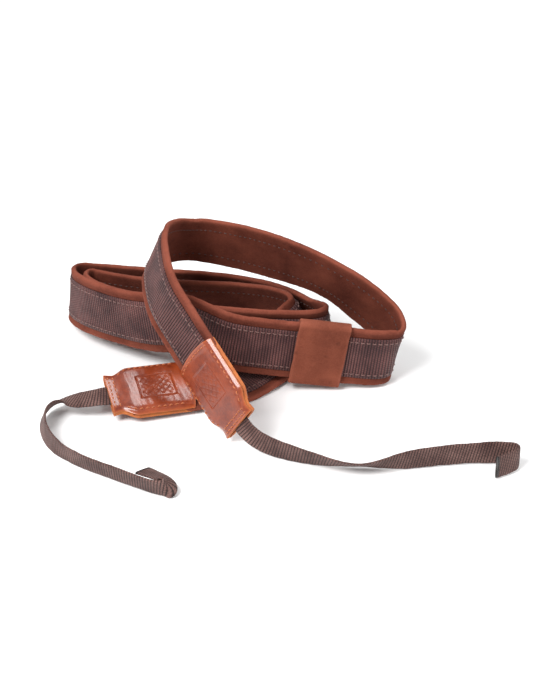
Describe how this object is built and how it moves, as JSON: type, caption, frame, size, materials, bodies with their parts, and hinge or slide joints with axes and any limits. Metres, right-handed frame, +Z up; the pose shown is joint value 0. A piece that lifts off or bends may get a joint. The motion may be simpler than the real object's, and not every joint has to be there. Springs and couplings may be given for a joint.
{
  "type": "neck strap",
  "caption": "Suede neck strap with a sewn webbing band, a sliding keeper sleeve, leather end tabs and thin webbing tails, lying coiled on its edge.",
  "frame": {"origin": "centre of the footprint of the coiled strap, without its tails, on the surface it lies on", "axes": "+Z up from that surface; +X along the front pass of the strap towards its right-hand turn; +Y towards the back of the coil"},
  "size_m": [0.1947, 0.1615, 0.0654],
  "materials": {
    "suede": "matt brown suede",
    "felt": "matt felt",
    "band_webbing": "ribbed woven webbing",
    "band_thread": "sewing thread",
    "tab_leather": "glossy waxed leather",
    "tab_thread": "waxed sewing thread",
    "tail_webbing": "flat woven webbing"
  },
  "bodies": {
    "strap": {"suede_cover": "suede", "padding_core": "felt", "webbing_band": "band_webbing", "band_stitch_upper": "band_thread", "band_stitch_lower": "band_thread", "tab_left_front": "tab_leather", "tab_left_back": "tab_leather", "tab_left_side_stitch": "tab_thread", "tab_left_tip_stitch": "tab_thread", "tab_right_front": "tab_leather", "tab_right_back": "tab_leather", "tab_right_side_stitch": "tab_thread", "tab_right_tip_stitch": "tab_thread", "tail_left": "tail_webbing", "tail_right": "tail_webbing"},
    "keeper": {"keeper_sleeve": "suede", "keeper_seam_stitch": "tab_thread"}
  },
  "joints": [
    {"name": "keeper_slide", "type": "slide", "parent": "strap", "child": "keeper", "axis": [0.9927, 0, -0.1205], "range_m": [-0.015, 0.003]}
  ]
}
